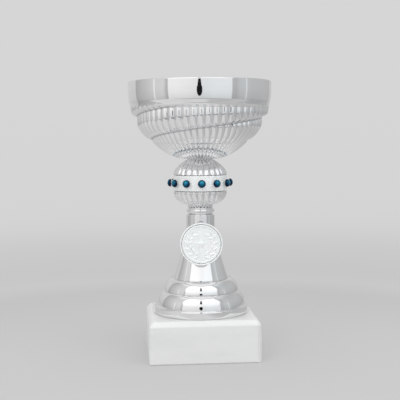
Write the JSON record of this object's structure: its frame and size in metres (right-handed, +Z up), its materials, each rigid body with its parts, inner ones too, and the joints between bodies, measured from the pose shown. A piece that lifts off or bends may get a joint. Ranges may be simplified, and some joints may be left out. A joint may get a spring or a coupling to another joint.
{
  "type": "sports trophy cup",
  "caption": "Silver presentation cup with a reeded bowl, a studded ball under it, a flared stem with a round medal holder, a stepped foot and a square marble base.",
  "frame": {"origin": "middle of the marble base's underside, on the surface that the cup stands on", "axes": "+Z up along the tie rod, -Y out of the front face of the block, +X to the right seen from the front; the medal holder faces 3 degrees to the left of -Y, as clamped in the picture"},
  "size_m": [0.0918, 0.092, 0.1751],
  "materials": {
    "silver_plate": "polished",
    "marble": "honed white marble with faint grey veins",
    "teal_stud": "deep teal metallic lacquer",
    "medal_relief": "bright embossed foil",
    "zinc_steel": "zinc plated"
  },
  "bodies": {
    "root": {"marble_base": "marble", "foot": "silver_plate", "stem": "silver_plate", "collar_ring": "silver_plate", "ball_lower": "silver_plate", "ball_belt": "silver_plate", "ball_upper": "silver_plate", "bowl": "silver_plate", "medal_holder": "silver_plate", "medal_bracket": "silver_plate", "medal_insert": "medal_relief", "tie_rod": "zinc_steel", "base_nut": "zinc_steel", "base_washer": "zinc_steel", "base_spring_washer": "zinc_steel", "bowl_nut": "zinc_steel", "bowl_washer": "zinc_steel", "stud_01": "teal_stud", "stud_02": "teal_stud", "stud_03": "teal_stud", "stud_04": "teal_stud", "stud_05": "teal_stud", "stud_06": "teal_stud", "stud_07": "teal_stud", "stud_08": "teal_stud", "stud_09": "teal_stud", "stud_10": "teal_stud", "stud_11": "teal_stud", "stud_12": "teal_stud"}
  },
  "joints": []
}
